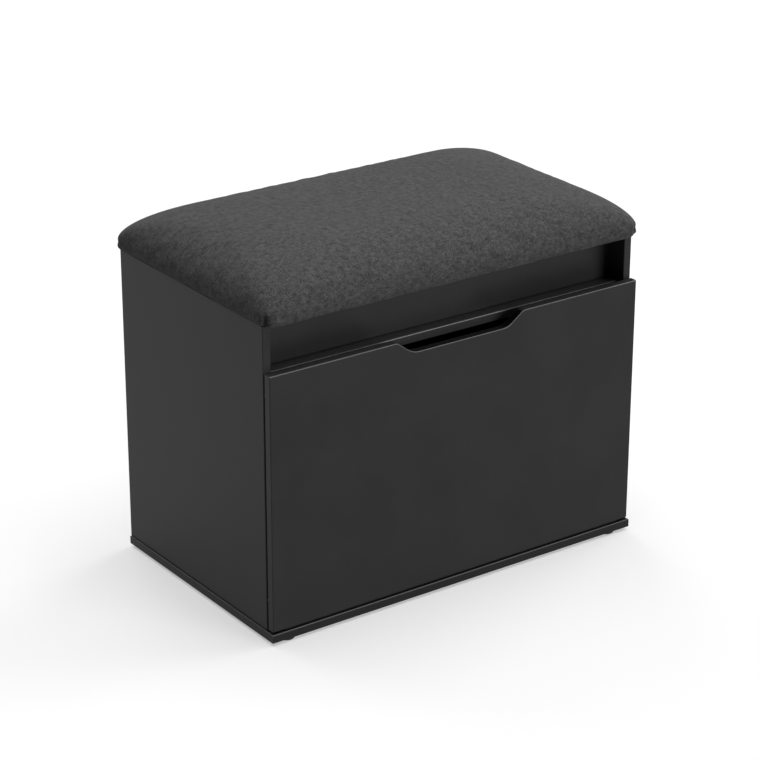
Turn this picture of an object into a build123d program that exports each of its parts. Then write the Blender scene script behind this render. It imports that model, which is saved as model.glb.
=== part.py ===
from build123d import *
import os
from math import cos, radians, sin, sqrt

# Upholstered storage bench: a laminated cabinet with a tilt-out shoe bin and a lift-up padded seat.
# Millimetres. X runs along the width, Y from front to back and Z up. The origin is on the floor,
# under the centre of the overall width and depth.

# Boards
BOARD = 12.0
HARDBOARD = 3.0
EDGE_R = 1.2

# Overall
OVERALL_D = 372.0
FOOT_H = 4.0
BASE_W = 600.0
BASE_D = 360.0
CABINET_W = 596.0
CABINET_D = 344.0
CABINET_TOP = 437.0

# Cabinet levels and planes
BASE_Z = FOOT_H
BASE_TOP = BASE_Z + BOARD
BASE_FRONT = -OVERALL_D / 2
BACK = BASE_FRONT + BASE_D
CABINET_FRONT = BACK - CABINET_D
SIDE_OUT = CABINET_W / 2
SIDE_IN = SIDE_OUT - BOARD
SIDE_MID = SIDE_OUT - BOARD / 2
FLOOR_TOP = 367.7
FLOOR_Z = FLOOR_TOP - BOARD
FLOOR_MID = FLOOR_TOP - BOARD / 2
FLOOR_FRONT = CABINET_FRONT + 15.0
NICHE_FACE = CABINET_FRONT + 34.0
NICHE_BACK = NICHE_FACE + BOARD
REBATE_W = 6.0
HARDBOARD_FACE = BACK - HARDBOARD
RAIL_FRONT = HARDBOARD_FACE - BOARD
HARDBOARD_EDGE = SIDE_IN + REBATE_W

# Feet
FOOT_R = 13.0
FOOT_BOTTOM_R = 11.5
FOOT_INSET_X = 30.0
FOOT_INSET_Y = 15.0
FOOT_RECESS_R = 4.0
FOOT_RECESS = 1.6

# Tilting front
FLAP_W = 595.0
FLAP_GAP = 2.8
FLAP_TOP = 374.6
FLAP_FRONT = BASE_FRONT + 2.0
FLAP_BACK = FLAP_FRONT + BOARD
FLAP_Z = BASE_TOP + FLAP_GAP
CUTOUT_TOP_W = 205.0
CUTOUT_BOTTOM_W = 154.0
CUTOUT_DEPTH = 18.6
CUTOUT_R = 28.0
CUTOUT_LIP_R = 10.0
FLAP_ANGLE = 45.0

# Continuous hinge under the tilting front
PIVOT_Y = FLAP_FRONT + 2.8
PIVOT_Z = BASE_TOP + FLAP_GAP / 2
ROD_BARREL_R = 1.8
ROD_R = 1.0
ROD_LEAF_T = 0.8
ROD_LEAF_OFFSET = 1.1
ROD_LEAF_W = 9.8
ROD_HINGE_L = 560.0
ROD_KNUCKLES = 23
ROD_LET_IN = ROD_LEAF_OFFSET + ROD_LEAF_T - FLAP_GAP / 2
ROD_POCKET_FRONT = 2.1
ROD_SCREW_OFFSET = 5.0
ROD_SCREW_STEP = 80.0
ROD_SCREW_SIDE = 3

# Shoe bin behind the tilting front
BIN_CLEARANCE = 4.0
BIN_OUT = SIDE_IN - BIN_CLEARANCE
BIN_IN = BIN_OUT - BOARD
BIN_MID = BIN_OUT - BOARD / 2
BIN_Z = FLAP_Z + 6.0
BIN_FLOOR_TOP = BIN_Z + BOARD
BIN_SHELF_Z = 165.0
BIN_REACH = 268.2
BIN_BACK_Y = PIVOT_Y + BIN_REACH
BIN_BACK_FACE = BIN_BACK_Y - BOARD
BIN_BACK_RISE = 200.0
BIN_SIDE_RISE = 300.0
BIN_ARC_R = 333.0

# Blocks that stop the bin
STOP_X = 155.0
STOP_W = 30.0
STOP_H = 20.0
STOP_FRONT_SETBACK = 1.0
STOP_CLEARANCE = 0.15
STOP_SCREW_SETBACK = 6.0

# Bumpers between the tilting front and the side panels
BUMPER_R = 4.0
BUMPER_T = 1.8
BUMPER_HEIGHTS = (60.0, 345.0)

# Padded seat
SEAT_W = 603.0
SEAT_FRONT = BASE_FRONT + 1.5
SEAT_BACK = OVERALL_D / 2
SEAT_MID = (SEAT_FRONT + SEAT_BACK) / 2
SEAT_D = SEAT_BACK - SEAT_FRONT
SEAT_WALL = 17.0
SEAT_EDGE_INSET = 63.0
SEAT_EDGE_RISE = 42.0
SEAT_EDGE_POWER = 1.65
SEAT_EDGE_STEPS = (0.04, 0.15, 0.35, 0.65, 1.0)
SEAT_CROWN = 6.0
SEAT_CROWN_STEPS = ((100.0, 0.7), (140.0, 1.0))
SEAT_TUCK = 3.3
SEAT_TUCK_H = 6.5
SEAT_TUCK_SHARE = 0.3
SEAT_CORNER_R = 17.0
SEAT_CORNER_GROWTH = 1.45
SEAT_CORNER_LIMIT = 0.88
COVER_T = 1.5
RETURN_T = 1.0
RETURN_W = 33.0
DUST_T = 0.7
DUST_GAP = 0.4
LID_BOARD_Z = CABINET_TOP + RETURN_T
LID_BOARD_TOP = LID_BOARD_Z + BOARD
LID_BOARD_INSET = SEAT_TUCK + COVER_T
STAPLE_INSET = 23.0
STAPLE_STEP = 45.0
STAPLE_W = 8.0
STAPLE_WIRE = 0.7
STAPLE_LEG = 5.0
STAPLE_PROUD = 0.4

# Seat hinges
LID_BARREL_R = 3.0
LID_PIN_R = 1.5
LID_AXIS_Y = BACK + 3.2
LID_AXIS_Z = CABINET_TOP - 3.3
LID_LEAF_T = 1.2
LID_LEAF_OFFSET = 2.1
LID_FIXED_OFFSET = 2.0
LID_LEAF_W = 31.2
LID_FIXED_W = 26.0
LID_HINGE_L = 60.0
LID_HINGE_X = 190.0
LID_KNUCKLES = 3
LID_SCREW_X = 20.0
LID_SCREW_OFFSET = 25.5
LID_FIXED_SCREW_OFFSET = 17.0
LID_NOTCH = 1.4
LID_NOTCH_PLAY = 1.0

# Hinge details shared by both hinges
KNUCKLE_GAP = 0.15
LEAF_CLEARANCE = 0.4
PIN_PLAY = 0.04

# Fasteners
PLAY = 0.05
TIP_PLAY = 0.3
SMALL_SCREW = (1.2, 2.4, 10.0)
HINGE_SCREW = (1.5, 3.0, 10.5)
LONG_HINGE_SCREW = (1.5, 3.0, 13.5)
BLOCK_SCREW = (1.7, 3.4, 26.0)
FOOT_SCREW = (1.5, 3.2, 11.0)
BOARD_SCREW = (2.5, 4.5, 50.0)
BIN_SCREW = (2.2, 4.0, 40.0)
NAIL_R = 0.9
NAIL_HEAD_R = 3.0
NAIL_HEAD_T = 0.8
NAIL_L = 13.0
DOWEL_R = 3.0
DOWEL_SHORT = 7.0
DOWEL_LONG = 17.0
CAM_R = 6.0
CAM_DEPTH = 8.5
CAM_SETBACK = 24.0
CAM_SLOT_W = 1.6
CAM_SLOT_L = 8.0
CAM_SLOT_DEPTH = 2.0
CAM_BOLT_R = 2.0
CAM_BOLT_IN = 8.0
CAM_BOLT_COLLAR_R = 3.0
CAM_BOLT_COLLAR = 2.0
RECESS_W = 0.7
RECESS_DEPTH = 0.9
TIP_L = 3.0

# Where the fasteners sit along the boards
BASE_SCREW_YS = (-145.0, 0.0, 145.0)
SIDE_DOWEL_YS = (-75.0, 75.0)
FLOOR_DOWEL_YS = (-45.0, 45.0)
UPRIGHT_DOWEL_XS = (-200.0, 0.0, 200.0)
FLOOR_CAM_YS = (-115.0, 115.0)
SIDE_NAIL_ZS = (45.0, 150.0, 255.0)
FLOOR_NAIL_XS = (-250.0, -100.0, 100.0, 250.0)
RAIL_NAIL_XS = (-90.0, 90.0)
BIN_CAM_ZS = (60.0, 135.0, 270.0)
BIN_CAM_XS = (-130.0, 130.0)
BIN_DOWEL_ZS = (95.0, 225.0)
BIN_BOARD_SCREW_YS = (-90.0, 20.0)
BIN_BACK_SCREW_ZS = (90.0, 195.0)

SIDES = (-1, 1)
UP = (0, 0, 1)
DOWN = (0, 0, -1)
LEFT = (-1, 0, 0)
RIGHT = (1, 0, 0)
FRONTWARD = (0, -1, 0)
BACKWARD = (0, 1, 0)


# ---- small helpers

def block(x0, x1, y0, y1, z0, z1):
    """A box between two corners."""
    solid = Box(x1 - x0, y1 - y0, z1 - z0, align=(Align.MIN, Align.MIN, Align.MIN))
    return Pos(x0, y0, z0) * solid


def place(point, out):
    """A location at a point, with its Z axis along a direction."""
    return Plane(origin=point, z_dir=out).location


def rod(point, along, radius, length):
    """A cylinder that starts at a point and runs along a direction."""
    solid = Cylinder(radius, length, align=(Align.CENTER, Align.CENTER, Align.MIN))
    return place(point, along) * solid


def repeat(shape, places):
    """The same shape at each place."""
    return [spot * shape for spot in places]


def drill(body, tools):
    """A body with every tool cut out of it."""
    for tool in tools:
        body = body - tool
    return body


def rounded(solid, faces, radius=EDGE_R):
    """A solid whose edges on the given faces are eased."""
    edges = [edge for face in faces for edge in face.edges()]
    return fillet(edges, radius)


def save(name, shape):
    """One file for one named piece, or for one group of identical pieces."""
    solids = list(shape) if isinstance(shape, (list, tuple)) else [shape]
    flat = []
    for solid in solids:
        flat.extend(solid.solids())
    result = flat[0] if len(flat) == 1 else Compound(children=flat)
    result.label = name
    export_step(result, os.path.join("parts", name + ".step"))


# ---- fasteners: each points down its local -Z, with its head's face at the origin

def screw(size, grow=0.0):
    """A countersunk screw, or with grow the hole that it sits in."""
    shank_r, head_r, length = size
    head_h = head_r - shank_r
    shank_r = shank_r + grow
    head_r = head_r + grow
    tip = length + (TIP_PLAY if grow else 0.0)
    shaft_end = tip if grow else length - TIP_L
    profile = Polyline((0, 0), (head_r, 0), (shank_r, -head_h), (shank_r, -shaft_end), (0, -tip), (0, 0))
    solid = revolve(Plane.XZ * make_face(profile.edges()), Axis.Z)
    if grow:
        return solid
    recess = Box(shank_r * 2, RECESS_W, RECESS_DEPTH * 2) + Box(RECESS_W, shank_r * 2, RECESS_DEPTH * 2)
    return solid - recess


def nail(grow=0.0):
    """A flat-headed nail that stands on the hardboard, or with grow its hole."""
    shank = Cylinder(NAIL_R + grow, NAIL_L, align=(Align.CENTER, Align.CENTER, Align.MAX))
    if grow:
        return shank
    head = Cylinder(NAIL_HEAD_R, NAIL_HEAD_T, align=(Align.CENTER, Align.CENTER, Align.MIN))
    return shank + fillet(head.edges().sort_by(Axis.Z)[-1:], NAIL_HEAD_T / 2)


def dowel(point, along, grow=0.0):
    """A beech dowel across a joint: its short end lies behind the point."""
    start = tuple(p - a * (DOWEL_SHORT + grow) for p, a in zip(point, along))
    return rod(start, along, DOWEL_R + grow, DOWEL_SHORT + DOWEL_LONG + 2 * grow)


def cam(point, out, grow=0.0):
    """A cam lock let into a face, with a cross slot for a driver."""
    solid = Cylinder(CAM_R + grow, CAM_DEPTH + grow, align=(Align.CENTER, Align.CENTER, Align.MAX))
    if not grow:
        slot = Box(CAM_SLOT_L, CAM_SLOT_W, CAM_SLOT_DEPTH * 2)
        slot = slot + Box(CAM_SLOT_W, CAM_SLOT_L, CAM_SLOT_DEPTH * 2)
        solid = solid - slot
    return place(point, out) * solid


def cam_bolt(point, along, grow=0.0):
    """A bolt from a cam's rim, through the joint and into the neighbouring board."""
    near = CAM_R - CAM_BOLT_R if grow else CAM_R + 2 * PLAY
    start = tuple(p + a * near for p, a in zip(point, along))
    joint = tuple(p + a * CAM_SETBACK for p, a in zip(point, along))
    length = CAM_SETBACK - near + CAM_BOLT_IN + grow
    bolt = rod(start, along, CAM_BOLT_R + grow, length)
    collar = rod(joint, along, CAM_BOLT_COLLAR_R + grow, CAM_BOLT_COLLAR + grow)
    return bolt + collar


# ---- hinges

def hinge_leaf(length, count, first, barrel_r, pin_r, leaf_w, leaf_t, offset):
    """A leaf with every second knuckle, its axis on X and its plate towards +Y."""
    pitch = length / count
    plate = block(-length / 2, length / 2, barrel_r + LEAF_CLEARANCE, leaf_w, offset, offset + leaf_t)
    for index in range(first, count, 2):
        low = -length / 2 + index * pitch + KNUCKLE_GAP
        high = low + pitch - 2 * KNUCKLE_GAP
        plate = plate + rod((low, 0, 0), RIGHT, barrel_r, high - low)
        plate = plate + block(low, high, 0, barrel_r + 2 * LEAF_CLEARANCE, offset, offset + leaf_t)
    return plate - rod((-length, 0, 0), RIGHT, pin_r + PIN_PLAY, 2 * length)


def lid_leaf():
    """The half of a seat hinge that lies on the underside of the seat."""
    return hinge_leaf(LID_HINGE_L, LID_KNUCKLES, 1, LID_BARREL_R, LID_PIN_R, LID_LEAF_W,
                      LID_LEAF_T, LID_LEAF_OFFSET)


def fixed_leaf():
    """The half of a seat hinge that lies on the cabinet's back."""
    return hinge_leaf(LID_HINGE_L, LID_KNUCKLES, 0, LID_BARREL_R, LID_PIN_R, LID_FIXED_W,
                      LID_LEAF_T, LID_FIXED_OFFSET)


def rod_leaf(first):
    """One half of the continuous hinge."""
    return hinge_leaf(ROD_HINGE_L, ROD_KNUCKLES, first, ROD_BARREL_R, ROD_R, ROD_LEAF_W,
                      ROD_LEAF_T, ROD_LEAF_OFFSET)


def on_axis(x, y, z, plate_out):
    """The frame of a hinge whose plate's outer face looks along plate_out."""
    turned = (1, 0, 0) if plate_out == "flap" else (-1, 0, 0)
    face = {"flap": UP, "base": DOWN, "lid": UP, "back": FRONTWARD}[plate_out]
    return Plane(origin=(x, y, z), x_dir=turned, z_dir=face).location


# ---- where the fasteners are

BASE_SCREW_PLACES = [place((side * SIDE_MID, y, BASE_Z), DOWN) for side in SIDES for y in BASE_SCREW_YS]
FOOT_CENTRES = [(side * (BASE_W / 2 - FOOT_INSET_X), y)
                for side in SIDES for y in (BASE_FRONT + FOOT_INSET_Y, BACK - FOOT_INSET_Y)]
FOOT_SCREW_PLACES = [place((x, y, FOOT_RECESS), DOWN) for x, y in FOOT_CENTRES]

SIDE_DOWELS = [((side * SIDE_MID, y, BASE_TOP), UP) for side in SIDES for y in SIDE_DOWEL_YS]
FLOOR_DOWELS = [((-SIDE_IN, y, FLOOR_MID), RIGHT) for y in FLOOR_DOWEL_YS]
FLOOR_DOWELS += [((SIDE_IN, y, FLOOR_MID), LEFT) for y in FLOOR_DOWEL_YS]
UPRIGHT_DOWELS = [((x, y, FLOOR_TOP), UP)
                  for x in UPRIGHT_DOWEL_XS for y in (NICHE_FACE + BOARD / 2, RAIL_FRONT + BOARD / 2)]

CAM_LEVEL = (FLOOR_TOP + CABINET_TOP) / 2
FLOOR_CAMS = [((side * (SIDE_IN - CAM_SETBACK), y, FLOOR_Z), DOWN, side)
              for side in SIDES for y in FLOOR_CAM_YS]
NICHE_CAMS = [((side * (SIDE_IN - CAM_SETBACK), NICHE_BACK, CAM_LEVEL), BACKWARD, side) for side in SIDES]
RAIL_CAMS = [((side * (SIDE_IN - CAM_SETBACK), RAIL_FRONT, CAM_LEVEL), FRONTWARD, side) for side in SIDES]

NAIL_X = (SIDE_IN + HARDBOARD_EDGE) / 2
NAIL_PLACES = [place((side * NAIL_X, BACK, z), BACKWARD) for side in SIDES for z in SIDE_NAIL_ZS]
NAIL_PLACES += [place((x, BACK, FLOOR_MID), BACKWARD) for x in FLOOR_NAIL_XS]
NAIL_PLACES += [place((x, BACK, CAM_LEVEL), BACKWARD) for x in RAIL_NAIL_XS]

ROD_SCREW_X = [index * ROD_SCREW_STEP for index in range(-ROD_SCREW_SIDE, ROD_SCREW_SIDE + 1)]
BASE_LEAF_TOP = PIVOT_Z - ROD_LEAF_OFFSET
FLAP_LEAF_Z = PIVOT_Z + ROD_LEAF_OFFSET
ROD_BASE_SCREWS = [place((x, PIVOT_Y + ROD_SCREW_OFFSET, BASE_LEAF_TOP), UP) for x in ROD_SCREW_X]
ROD_FLAP_SCREWS = [place((x, PIVOT_Y + ROD_SCREW_OFFSET, FLAP_LEAF_Z), DOWN) for x in ROD_SCREW_X]

LEAF_SCREW_X = [side * LID_HINGE_X + dx for side in SIDES for dx in (-LID_SCREW_X, LID_SCREW_X)]
LID_LEAF_SCREWS = [place((x, LID_AXIS_Y - LID_SCREW_OFFSET, LID_AXIS_Z + LID_LEAF_OFFSET), DOWN)
                   for x in LEAF_SCREW_X]
FIXED_LEAF_SCREWS = [place((x, LID_AXIS_Y - LID_FIXED_OFFSET, LID_AXIS_Z - LID_FIXED_SCREW_OFFSET), BACKWARD)
                     for x in LEAF_SCREW_X]

BIN_SIDE_CAMS = [((side * BIN_IN, FLAP_BACK + CAM_SETBACK, z), (-side, 0, 0)) for side in SIDES
                 for z in BIN_CAM_ZS]
BIN_FLOOR_CAMS = [((x, FLAP_BACK + CAM_SETBACK, BIN_Z), DOWN) for x in BIN_CAM_XS]
BIN_DOWELS = [((side * BIN_MID, FLAP_BACK, z), BACKWARD) for side in SIDES for z in BIN_DOWEL_ZS]
BIN_FLOOR_MID = BIN_Z + BOARD / 2
BIN_SHELF_MID = BIN_SHELF_Z + BOARD / 2
BIN_BACK_MID = BIN_BACK_Y - BOARD / 2
BIN_SCREW_POINTS = [(y, BIN_FLOOR_MID) for y in BIN_BOARD_SCREW_YS]
BIN_SCREW_POINTS += [(y, BIN_SHELF_MID) for y in BIN_BOARD_SCREW_YS]
BIN_SCREW_POINTS += [(BIN_BACK_MID, z) for z in BIN_BACK_SCREW_ZS]
BIN_SCREW_PLACES = [place((side * BIN_OUT, y, z), (side, 0, 0))
                    for side in SIDES for y, z in BIN_SCREW_POINTS]

STOP_FRONT = FLOOR_FRONT + STOP_FRONT_SETBACK
STOP_SCREW_PLACES = [place((side * STOP_X, STOP_FRONT + STOP_SCREW_SETBACK, FLOOR_Z - STOP_H), DOWN)
                     for side in SIDES]


# ---- cabinet

def cabinet_cam_bolts(grow=0.0):
    """The bolts of the floor's, the niche board's and the rail's cams."""
    depth = BOARD / 2
    bolts = []
    for (x, y, z), out, side in FLOOR_CAMS + NICHE_CAMS + RAIL_CAMS:
        centre = (x, y - out[1] * depth, z - out[2] * depth)
        bolts.append(cam_bolt(centre, (side, 0, 0), grow))
    return bolts


def base_board():
    solid = block(-BASE_W / 2, BASE_W / 2, BASE_FRONT, BACK, BASE_Z, BASE_TOP)
    solid = rounded(solid, [solid.faces().sort_by(Axis.Z)[-1], solid.faces().sort_by(Axis.Z)[0]])
    pocket = block(-ROD_HINGE_L / 2 - PLAY, ROD_HINGE_L / 2 + PLAY, PIVOT_Y - ROD_POCKET_FRONT,
                   PIVOT_Y + ROD_LEAF_W + PLAY, BASE_TOP - ROD_LET_IN, BASE_TOP)
    tools = [pocket]
    tools += repeat(screw(BOARD_SCREW, PLAY), BASE_SCREW_PLACES)
    tools += repeat(screw(FOOT_SCREW, PLAY), FOOT_SCREW_PLACES)
    tools += repeat(screw(SMALL_SCREW, PLAY), ROD_BASE_SCREWS)
    tools += [dowel(point, along, PLAY) for point, along in SIDE_DOWELS]
    return drill(solid, tools)


def side_panel(side):
    low, high = sorted((side * SIDE_IN, side * SIDE_OUT))
    solid = block(low, high, CABINET_FRONT, BACK, BASE_TOP, CABINET_TOP)
    solid = rounded(solid, [solid.faces().sort_by(Axis.Y)[0]])
    low, high = sorted((side * SIDE_IN, side * HARDBOARD_EDGE))
    tools = [block(low, high, HARDBOARD_FACE, BACK, BASE_TOP, CABINET_TOP)]
    tools += repeat(screw(BOARD_SCREW, PLAY), BASE_SCREW_PLACES)
    tools += repeat(nail(PLAY), NAIL_PLACES)
    tools += [dowel(point, along, PLAY) for point, along in SIDE_DOWELS + FLOOR_DOWELS]
    tools += cabinet_cam_bolts(PLAY)
    return drill(solid, tools)


def storage_floor():
    """The fixed board over the bin, which is the floor of the storage box."""
    solid = block(-SIDE_IN, SIDE_IN, FLOOR_FRONT, HARDBOARD_FACE, FLOOR_Z, FLOOR_TOP)
    solid = fillet(solid.faces().sort_by(Axis.Y)[0].edges().filter_by(Axis.X), EDGE_R)
    tools = [cam(point, out, PLAY) for point, out, side in FLOOR_CAMS]
    tools += cabinet_cam_bolts(PLAY)
    tools += [dowel(point, along, PLAY) for point, along in FLOOR_DOWELS + UPRIGHT_DOWELS]
    tools += repeat(nail(PLAY), NAIL_PLACES)
    tools += repeat(screw(BLOCK_SCREW, PLAY), STOP_SCREW_PLACES)
    return drill(solid, tools)


def storage_front_board():
    """The upright board at the back of the niche, which is the front of the storage box."""
    solid = block(-SIDE_IN, SIDE_IN, NICHE_FACE, NICHE_BACK, FLOOR_TOP, CABINET_TOP)
    solid = fillet(solid.faces().sort_by(Axis.Y)[0].edges().filter_by(Axis.X), EDGE_R)
    tools = [cam(point, out, PLAY) for point, out, side in NICHE_CAMS]
    tools += cabinet_cam_bolts(PLAY)
    tools += [dowel(point, along, PLAY) for point, along in UPRIGHT_DOWELS]
    return drill(solid, tools)


def hinge_notches():
    """The shallow notches in which the seat hinges' upper leaves lie."""
    half = LID_HINGE_L / 2 + LID_NOTCH_PLAY
    return [block(side * LID_HINGE_X - half, side * LID_HINGE_X + half, RAIL_FRONT, BACK,
                  CABINET_TOP - LID_NOTCH, CABINET_TOP) for side in SIDES]


def rear_rail():
    solid = block(-SIDE_IN, SIDE_IN, RAIL_FRONT, HARDBOARD_FACE, FLOOR_TOP, CABINET_TOP)
    tools = hinge_notches()
    tools += [cam(point, out, PLAY) for point, out, side in RAIL_CAMS]
    tools += cabinet_cam_bolts(PLAY)
    tools += [dowel(point, along, PLAY) for point, along in UPRIGHT_DOWELS]
    tools += repeat(nail(PLAY), NAIL_PLACES)
    tools += repeat(screw(LONG_HINGE_SCREW, PLAY), FIXED_LEAF_SCREWS)
    return drill(solid, tools)


def back_panel():
    solid = block(-HARDBOARD_EDGE, HARDBOARD_EDGE, HARDBOARD_FACE, BACK, BASE_TOP, CABINET_TOP)
    tools = hinge_notches()
    tools += repeat(nail(PLAY), NAIL_PLACES)
    tools += repeat(screw(LONG_HINGE_SCREW, PLAY), FIXED_LEAF_SCREWS)
    return drill(solid, tools)


def foot_glides():
    shape = Cone(FOOT_BOTTOM_R, FOOT_R, FOOT_H, align=(Align.CENTER, Align.CENTER, Align.MIN))
    recess = Cylinder(FOOT_RECESS_R, FOOT_RECESS, align=(Align.CENTER, Align.CENTER, Align.MIN))
    shape = shape - recess - Pos(0, 0, FOOT_RECESS) * (Rot(180, 0, 0) * screw(FOOT_SCREW, PLAY))
    return [Pos(x, y, 0) * shape for x, y in FOOT_CENTRES]


def stop_block(side):
    """A wedge under the storage floor whose slope meets the bin's back at full tilt."""
    tilt = radians(FLAP_ANGLE)
    reach = BIN_BACK_RISE + STOP_CLEARANCE

    def slope_y(z):
        return PIVOT_Y + ((z - PIVOT_Z) * cos(tilt) - reach) / sin(tilt)

    low = FLOOR_Z - STOP_H
    outline = Polyline((STOP_FRONT, low), (slope_y(low), low), (slope_y(FLOOR_Z), FLOOR_Z),
                       (STOP_FRONT, FLOOR_Z), (STOP_FRONT, low))
    solid = extrude(Plane.YZ * make_face(outline.edges()), STOP_W)
    solid = Pos(side * STOP_X - STOP_W / 2, 0, 0) * solid
    return drill(solid, repeat(screw(BLOCK_SCREW, PLAY), STOP_SCREW_PLACES))


def flap_bumpers():
    """Soft dots on the side panels' front edges."""
    dots = []
    for side in SIDES:
        for z in BUMPER_HEIGHTS:
            dot = Cylinder(BUMPER_R, BUMPER_T, align=(Align.CENTER, Align.CENTER, Align.MIN))
            dot = fillet(dot.edges().sort_by(Axis.Z)[-1:], BUMPER_T / 2)
            dots.append(place((side * SIDE_MID, CABINET_FRONT, z), FRONTWARD) * dot)
    return dots


# ---- tilting front and bin

def bin_cams(grow=0.0):
    return [cam(point, out, grow) for point, out in BIN_SIDE_CAMS + BIN_FLOOR_CAMS]


def bin_cam_bolts(grow=0.0):
    depth = BOARD / 2
    bolts = []
    for (x, y, z), out in BIN_SIDE_CAMS + BIN_FLOOR_CAMS:
        bolts.append(cam_bolt((x - out[0] * depth, y, z - out[2] * depth), FRONTWARD, grow))
    return bolts


def bin_dowels(grow=0.0):
    return [dowel(point, along, grow) for point, along in BIN_DOWELS]


def flap_front():
    """The tilting front, with a grip cut into its top edge."""
    low_z = FLAP_TOP - CUTOUT_DEPTH
    half_top = CUTOUT_TOP_W / 2
    half_low = CUTOUT_BOTTOM_W / 2
    half_w = FLAP_W / 2
    outline = Polyline((-half_w, FLAP_Z), (half_w, FLAP_Z), (half_w, FLAP_TOP), (half_top, FLAP_TOP),
                       (half_low, low_z), (-half_low, low_z), (-half_top, FLAP_TOP), (-half_w, FLAP_TOP),
                       (-half_w, FLAP_Z))
    face = make_face(outline.edges())
    grip_low = face.vertices().filter_by(lambda v: abs(v.Y - low_z) < PLAY)
    face = fillet(grip_low, CUTOUT_R)
    grip_top = face.vertices().filter_by(lambda v: abs(abs(v.X) - half_top) < PLAY)
    face = fillet(grip_top, CUTOUT_LIP_R)
    solid = extrude(Plane.XZ * face, -BOARD)
    solid = Pos(0, FLAP_FRONT, 0) * solid
    solid = rounded(solid, [solid.faces().sort_by(Axis.Y)[0], solid.faces().sort_by(Axis.Y)[-1]])
    pocket = block(-ROD_HINGE_L / 2 - PLAY, ROD_HINGE_L / 2 + PLAY, PIVOT_Y - ROD_POCKET_FRONT,
                   PIVOT_Y + ROD_LEAF_W + PLAY, FLAP_Z, FLAP_Z + ROD_LET_IN)
    tools = [pocket] + repeat(screw(SMALL_SCREW, PLAY), ROD_FLAP_SCREWS)
    return drill(solid, tools + bin_cam_bolts(PLAY) + bin_dowels(PLAY))


def bin_side(side):
    """A side of the bin, whose back corner is an arc about the hinge axis."""
    top_z = PIVOT_Z + BIN_SIDE_RISE
    arc_y = PIVOT_Y + sqrt(BIN_ARC_R ** 2 - BIN_SIDE_RISE ** 2)
    arc_z = PIVOT_Z + sqrt(BIN_ARC_R ** 2 - BIN_REACH ** 2)
    start = (FLAP_BACK, BIN_Z)
    path = Line(start, (FLAP_BACK, top_z)) + Line((FLAP_BACK, top_z), (arc_y, top_z))
    path = path + RadiusArc((arc_y, top_z), (BIN_BACK_Y, arc_z), BIN_ARC_R)
    path = path + Line((BIN_BACK_Y, arc_z), (BIN_BACK_Y, BIN_Z)) + Line((BIN_BACK_Y, BIN_Z), start)
    low = min(side * BIN_IN, side * BIN_OUT)
    solid = extrude(Plane.YZ * make_face(path.edges()), BOARD)
    solid = Pos(low, 0, 0) * solid
    solid = fillet(solid.faces().sort_by(Axis.Z)[-1].edges().filter_by(Axis.Y), EDGE_R)
    tools = bin_cams(PLAY) + bin_cam_bolts(PLAY) + bin_dowels(PLAY)
    return drill(solid, tools + repeat(screw(BIN_SCREW, PLAY), BIN_SCREW_PLACES))


def bin_board(y0, y1, z0, z1):
    """A board between the bin's sides."""
    solid = block(-BIN_IN, BIN_IN, y0, y1, z0, z1)
    solid = fillet(solid.faces().sort_by(Axis.Z)[-1].edges().filter_by(Axis.X), EDGE_R)
    tools = bin_cams(PLAY) + bin_cam_bolts(PLAY)
    return drill(solid, tools + repeat(screw(BIN_SCREW, PLAY), BIN_SCREW_PLACES))


# ---- padded seat

def seat_section(inset, z):
    """The seat's outline at a height, drawn in from its widest outline."""
    width = SEAT_W - 2 * inset
    depth = SEAT_D - 2 * inset
    radius = min(SEAT_CORNER_R + SEAT_CORNER_GROWTH * inset, SEAT_CORNER_LIMIT * depth / 2)
    return Pos(0, SEAT_MID, z) * RectangleRounded(width, depth, radius)


def seat_form(shrink, bottom):
    """The padded seat's form, or with shrink the form inside its cover."""
    power = SEAT_EDGE_POWER
    wall_top = CABINET_TOP + SEAT_WALL
    tuck_mid = CABINET_TOP + SEAT_TUCK_H / 2
    sections = [seat_section(SEAT_TUCK + shrink, bottom)]
    sections.append(seat_section(SEAT_TUCK * SEAT_TUCK_SHARE + shrink, tuck_mid))
    sections.append(seat_section(shrink, CABINET_TOP + SEAT_TUCK_H))
    sections.append(seat_section(shrink, wall_top - shrink))
    for step in SEAT_EDGE_STEPS:
        rise = SEAT_EDGE_RISE * (1 - (1 - step) ** power) ** (1 / power)
        sections.append(seat_section(SEAT_EDGE_INSET * step + shrink, wall_top + rise - shrink))
    for inset, share in SEAT_CROWN_STEPS:
        rise = SEAT_EDGE_RISE + SEAT_CROWN * share
        sections.append(seat_section(inset + shrink, wall_top + rise - shrink))
    return loft(sections, ruled=True)


def seat_plate(inset, low, high):
    """A flat plate in the seat's underside."""
    return extrude(seat_section(inset, low), high - low)


def seat_cover():
    """The fabric cover, turned in under the seat's board."""
    shell = seat_form(0.0, CABINET_TOP) - seat_form(COVER_T, LID_BOARD_Z)
    shell = shell - seat_plate(RETURN_W, CABINET_TOP - RETURN_T, LID_BOARD_Z + RETURN_T)
    return drill(shell, repeat(screw(HINGE_SCREW, PLAY), LID_LEAF_SCREWS) + staples(PLAY))


def seat_foam():
    """The foam over the board, with the wadding round the board's edge."""
    board = seat_plate(LID_BOARD_INSET, LID_BOARD_Z - RETURN_T, LID_BOARD_TOP)
    return seat_form(COVER_T, LID_BOARD_Z) - board


def lid_board():
    solid = seat_plate(LID_BOARD_INSET, LID_BOARD_Z, LID_BOARD_TOP)
    return drill(solid, repeat(screw(HINGE_SCREW, PLAY), LID_LEAF_SCREWS) + staples(PLAY))


def dust_cover():
    """The thin sheet that closes the seat's underside inside the turned-in fabric."""
    solid = seat_plate(RETURN_W + DUST_GAP, LID_BOARD_Z - DUST_T, LID_BOARD_Z)
    return drill(solid, repeat(screw(HINGE_SCREW, PLAY), LID_LEAF_SCREWS))


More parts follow.
